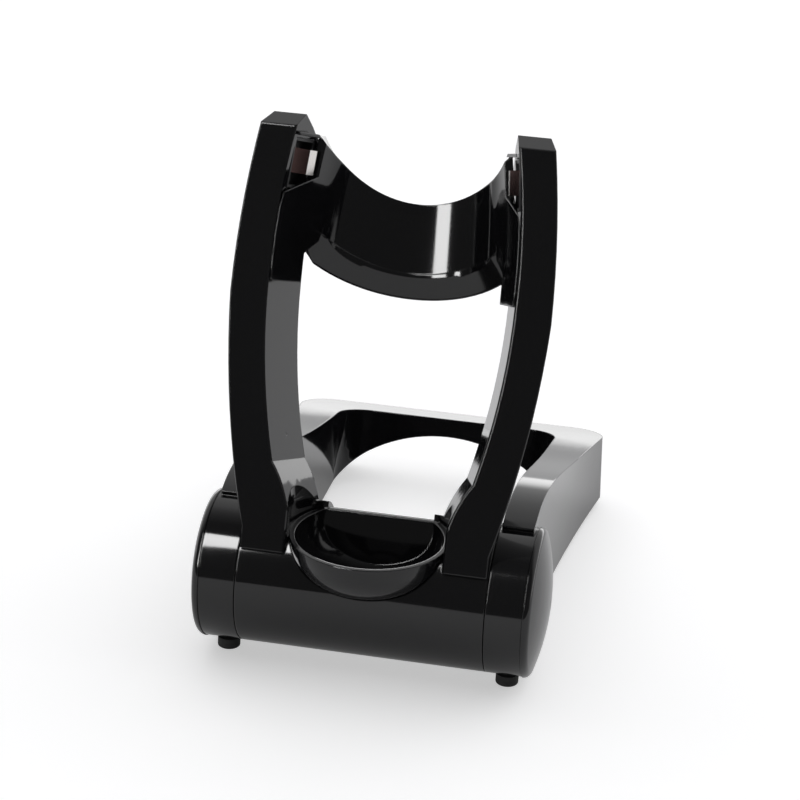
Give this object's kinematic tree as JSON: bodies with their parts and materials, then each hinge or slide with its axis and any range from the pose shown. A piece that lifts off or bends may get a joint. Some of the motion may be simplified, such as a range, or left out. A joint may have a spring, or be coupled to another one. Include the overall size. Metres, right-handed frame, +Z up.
{
  "type": "shaver charging stand",
  "caption": "Folding charging stand: a ring-shaped base with rubber feet, a forked frame leaning back on a barrel hinge, a drip bowl in front and sprung contact clips in the fork's ears.",
  "frame": {"origin": "middle of the footprint, on the surface that the feet stand on", "axes": "X to the right seen from the front, Y to the back, Z up"},
  "size_m": [0.1064, 0.1722, 0.158],
  "materials": {
    "black_gloss": "high gloss moulded, black",
    "black_rubber": "soft matt, black",
    "black_matt": "fine matt texture, black",
    "black_engineering_plastic": "satin, black",
    "sprung_steel": "bright plated spring strip",
    "plain_steel": "plain turned",
    "pin_brass": "plain drawn",
    "lead_sleeve": "smooth insulation"
  },
  "bodies": {
    "base": {"base_shell": "black_gloss", "base_bottom_cover": "black_matt", "left_end_cap": "black_gloss", "right_end_cap": "black_gloss", "left_hinge_pin": "plain_steel", "right_hinge_pin": "plain_steel", "left_friction_washer": "plain_steel", "right_friction_washer": "plain_steel", "power_inlet": "black_engineering_plastic", "inlet_pins": "pin_brass", "left_base_lead": "lead_sleeve", "right_base_lead": "lead_sleeve", "front_left_foot": "black_rubber", "front_right_foot": "black_rubber", "rear_left_foot": "black_rubber", "rear_right_foot": "black_rubber", "base_screws": "plain_steel"},
    "fold_frame": {"frame_shell": "black_gloss", "left_arm_cover": "black_matt", "right_arm_cover": "black_matt", "cradle": "black_gloss", "drip_bowl": "black_gloss", "left_hinge_bush": "black_engineering_plastic", "right_hinge_bush": "black_engineering_plastic", "left_contact_carrier": "black_engineering_plastic", "right_contact_carrier": "black_engineering_plastic", "left_arm_lead": "lead_sleeve", "right_arm_lead": "lead_sleeve", "frame_screws": "plain_steel"},
    "left_clip": {"left_contact_clip": "sprung_steel"},
    "right_clip": {"right_contact_clip": "sprung_steel"}
  },
  "joints": [
    {"name": "frame_fold", "type": "hinge", "parent": "base", "child": "fold_frame", "pos_m": [0, -0.0544, 0.0253], "axis": [-1, 0, 0], "range_deg": [0, 44]},
    {"name": "left_clip_press", "type": "slide", "parent": "fold_frame", "child": "left_clip", "axis": [-0.974, 0.2257, 0.0221], "range_m": [0, 0.0012], "stiffness_N_per_m": 1500, "springref_m": -0.0002},
    {"name": "right_clip_press", "type": "slide", "parent": "fold_frame", "child": "right_clip", "axis": [0.974, 0.2257, 0.0221], "range_m": [0, 0.0012], "stiffness_N_per_m": 1500, "springref_m": -0.0002}
  ]
}
